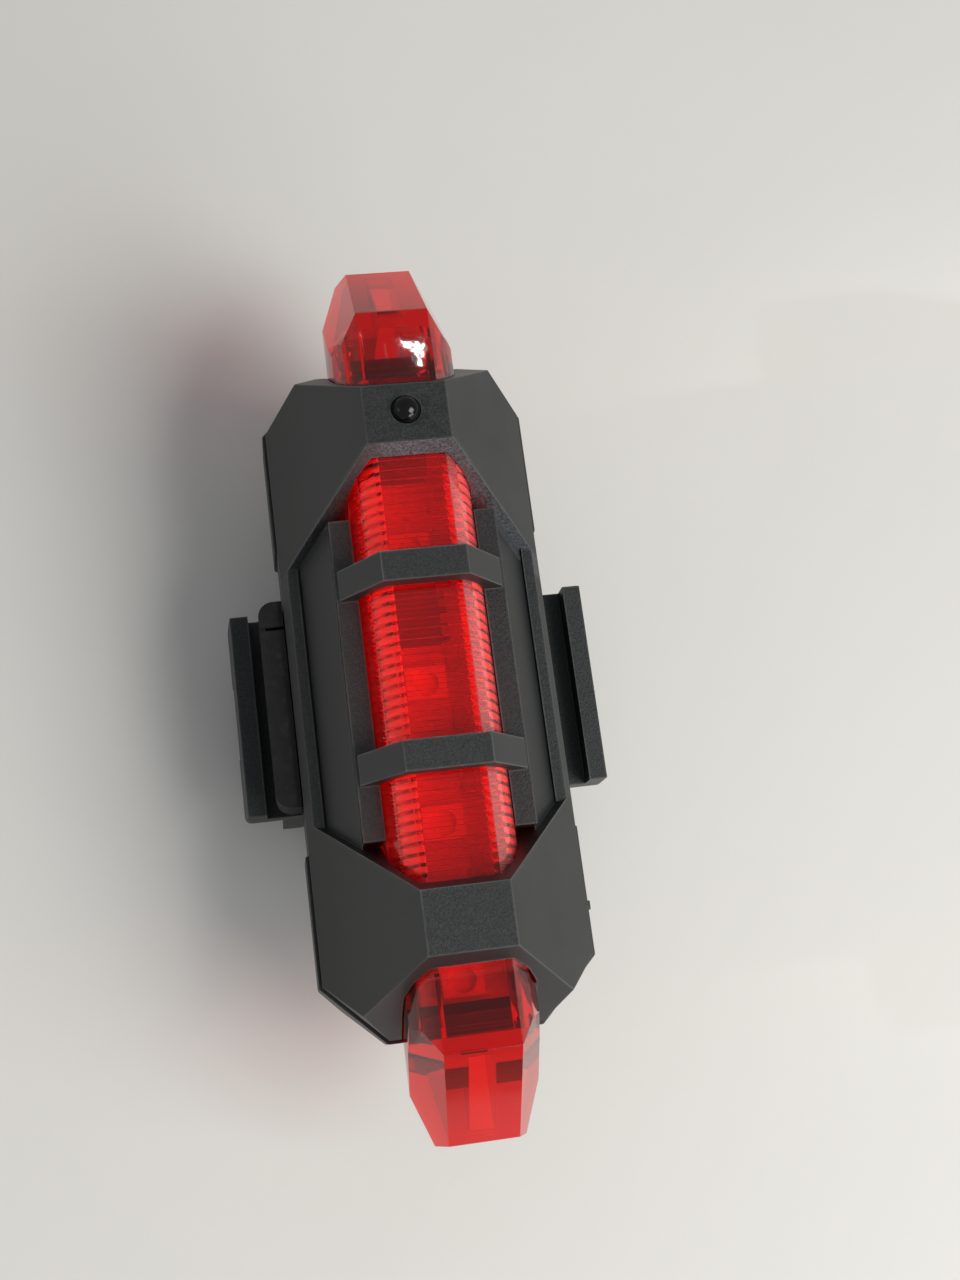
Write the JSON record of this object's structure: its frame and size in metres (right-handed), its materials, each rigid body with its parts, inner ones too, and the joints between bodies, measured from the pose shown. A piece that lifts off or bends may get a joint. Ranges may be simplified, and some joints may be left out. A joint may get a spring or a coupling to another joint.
{
  "type": "bicycle rear light bar",
  "caption": "Small rechargeable light bar with a faceted housing, a full-length red ribbed lens, a push button, a side charging port and a saddle bracket with strap ears.",
  "frame": {"origin": "under the middle of the light, on the surface that the two lower edges of the saddle pad lie on", "axes": "+Z out of the lens, +Y along the lens towards the push button, -X towards the charging port"},
  "size_m": [0.0326, 0.075, 0.0301],
  "materials": {
    "cover_plastic": "fine speckled matte with satin slopes",
    "shell_plastic": "fine matte",
    "lens_red": "clear red, polished, ribbed inside",
    "rubber": "matte",
    "board_white": "white solder mask",
    "led_white": "glossy",
    "chip_black": "satin",
    "components": "satin",
    "switch_plastic": "satin",
    "button_gloss": "glossy",
    "steel": "satin",
    "cell_foil": "crinkled foil pouch",
    "foam": "matte",
    "lead_red": "satin",
    "lead_black": "satin"
  },
  "bodies": {
    "housing": {"front_cover": "cover_plastic", "lens_bar": "lens_red", "rear_shell": "shell_plastic", "seam_seal": "rubber", "circuit_board": "board_white", "centre_leds": "led_white", "end_leds": "led_white", "controller_chip": "chip_black", "charging_chip": "chip_black", "board_components": "components", "charge_indicator": "led_white", "switch_base": "chip_black", "usb_socket": "steel", "usb_tongue": "chip_black", "port_cover_anchor": "rubber", "battery_cell": "cell_foil", "battery_foam": "foam", "battery_lead_positive": "lead_red", "battery_lead_negative": "lead_black", "case_screws": "steel", "strap_bracket": "shell_plastic", "bracket_screws": "steel", "saddle_pad": "rubber"},
    "button": {"mode_button": "button_gloss"},
    "plunger": {"switch_plunger": "switch_plastic"},
    "port_flap": {"port_cover": "rubber"}
  },
  "joints": [
    {"name": "button_press", "type": "slide", "parent": "housing", "child": "button", "axis": [0, 0, -1], "range_m": [0, 0.0003], "stiffness_N_per_m": 2000, "springref_m": -0.0002},
    {"name": "plunger_press", "type": "slide", "parent": "housing", "child": "plunger", "axis": [0, 0, -1], "range_m": [0, 0.0003]},
    {"name": "port_cover_swing", "type": "hinge", "parent": "housing", "child": "port_flap", "pos_m": [-0.0135, 0.0066, 0.0145], "axis": [0, 0, -1], "range_deg": [0, 110]}
  ],
  "couplings": [
    {"joint": "plunger_press", "follows": "button_press", "ratio": 1}
  ]
}
